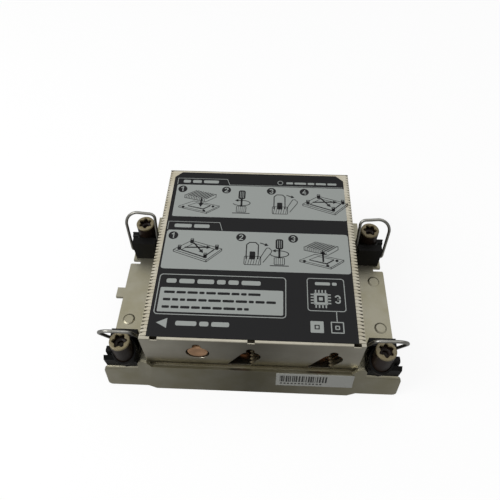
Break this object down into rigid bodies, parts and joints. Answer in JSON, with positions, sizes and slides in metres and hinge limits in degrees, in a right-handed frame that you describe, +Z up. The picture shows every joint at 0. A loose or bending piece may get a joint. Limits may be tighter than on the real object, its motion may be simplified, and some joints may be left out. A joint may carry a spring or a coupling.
{
  "type": "passive server processor heatsink",
  "caption": "Low finned heatsink on a cast frame with bent heat pipes, captive six-lobe nuts in corner holders, tilting wire bails and a printed top label.",
  "frame": {"origin": "middle of the flat contact face of the cold plate, which is also the middle of the rectangle of the four nuts", "axes": "+X along the air flow and the fins, +Z up towards the label, -Y towards the rail with the ears"},
  "size_m": [0.1137, 0.0867, 0.0361],
  "materials": {
    "fin_metal": "nickel plated, satin",
    "copper": "bare copper, slightly tarnished",
    "nickel_copper": "nickel plated, milled",
    "cast_nickel": "nickel plated casting, satin",
    "ring_steel": "spring steel",
    "spring_steel": "drawn wire, bright",
    "black_polymer": "moulded, fine grain",
    "tan_polymer": "machined high-temperature polymer",
    "label_film": "printed film",
    "sticker_film": "printed film"
  },
  "bodies": {
    "heatsink": {"cold_plate": "nickel_copper", "base_frame": "cast_nickel", "heat_pipe_left": "copper", "heat_pipe_middle": "copper", "heat_pipe_right": "copper", "front_fin": "fin_metal", "fin_stack": "fin_metal", "back_fin": "fin_metal", "top_label": "label_film", "front_sticker": "sticker_film", "nut_holder_front_left": "black_polymer", "nut_holder_front_right": "black_polymer", "nut_holder_back_left": "black_polymer", "nut_holder_back_right": "black_polymer"},
    "lift_front_left": {"retaining_ring_front_left": "ring_steel"},
    "nut_front_left": {"captive_nut_front_left": "tan_polymer"},
    "bail_front_left": {"tilt_bail_front_left": "spring_steel"},
    "lift_front_right": {"retaining_ring_front_right": "ring_steel"},
    "nut_front_right": {"captive_nut_front_right": "tan_polymer"},
    "bail_front_right": {"tilt_bail_front_right": "spring_steel"},
    "lift_back_left": {"retaining_ring_back_left": "ring_steel"},
    "nut_back_left": {"captive_nut_back_left": "tan_polymer"},
    "bail_back_left": {"tilt_bail_back_left": "spring_steel"},
    "lift_back_right": {"retaining_ring_back_right": "ring_steel"},
    "nut_back_right": {"captive_nut_back_right": "tan_polymer"},
    "bail_back_right": {"tilt_bail_back_right": "spring_steel"}
  },
  "joints": [
    {"name": "nut_lift_front_left", "type": "slide", "parent": "heatsink", "child": "lift_front_left", "axis": [0, 0, 1], "range_m": [0, 0.0025]},
    {"name": "nut_turn_front_left", "type": "hinge", "parent": "lift_front_left", "child": "nut_front_left", "pos_m": [-0.0472, -0.0271, 0.0112], "axis": [0, 0, 1], "continuous": true},
    {"name": "bail_tilt_front_left", "type": "hinge", "parent": "heatsink", "child": "bail_front_left", "pos_m": [-0.0472, -0.0212, 0.0105], "axis": [1, 0, 0], "range_deg": [-45, 20]},
    {"name": "nut_lift_front_right", "type": "slide", "parent": "heatsink", "child": "lift_front_right", "axis": [0, 0, 1], "range_m": [0, 0.0025]},
    {"name": "nut_turn_front_right", "type": "hinge", "parent": "lift_front_right", "child": "nut_front_right", "pos_m": [0.0472, -0.0271, 0.0112], "axis": [0, 0, 1], "continuous": true},
    {"name": "bail_tilt_front_right", "type": "hinge", "parent": "heatsink", "child": "bail_front_right", "pos_m": [0.0472, -0.0212, 0.0105], "axis": [1, 0, 0], "range_deg": [-45, 20]},
    {"name": "nut_lift_back_left", "type": "slide", "parent": "heatsink", "child": "lift_back_left", "axis": [0, 0, 1], "range_m": [0, 0.0025]},
    {"name": "nut_turn_back_left", "type": "hinge", "parent": "lift_back_left", "child": "nut_back_left", "pos_m": [-0.0472, 0.0271, 0.0112], "axis": [0, 0, 1], "continuous": true},
    {"name": "bail_tilt_back_left", "type": "hinge", "parent": "heatsink", "child": "bail_back_left", "pos_m": [-0.0472, 0.0212, 0.0105], "axis": [1, 0, 0], "range_deg": [-20, 45]},
    {"name": "nut_lift_back_right", "type": "slide", "parent": "heatsink", "child": "lift_back_right", "axis": [0, 0, 1], "range_m": [0, 0.0025]},
    {"name": "nut_turn_back_right", "type": "hinge", "parent": "lift_back_right", "child": "nut_back_right", "pos_m": [0.0472, 0.0271, 0.0112], "axis": [0, 0, 1], "continuous": true},
    {"name": "bail_tilt_back_right", "type": "hinge", "parent": "heatsink", "child": "bail_back_right", "pos_m": [0.0472, 0.0212, 0.0105], "axis": [1, 0, 0], "range_deg": [-20, 45]}
  ]
}
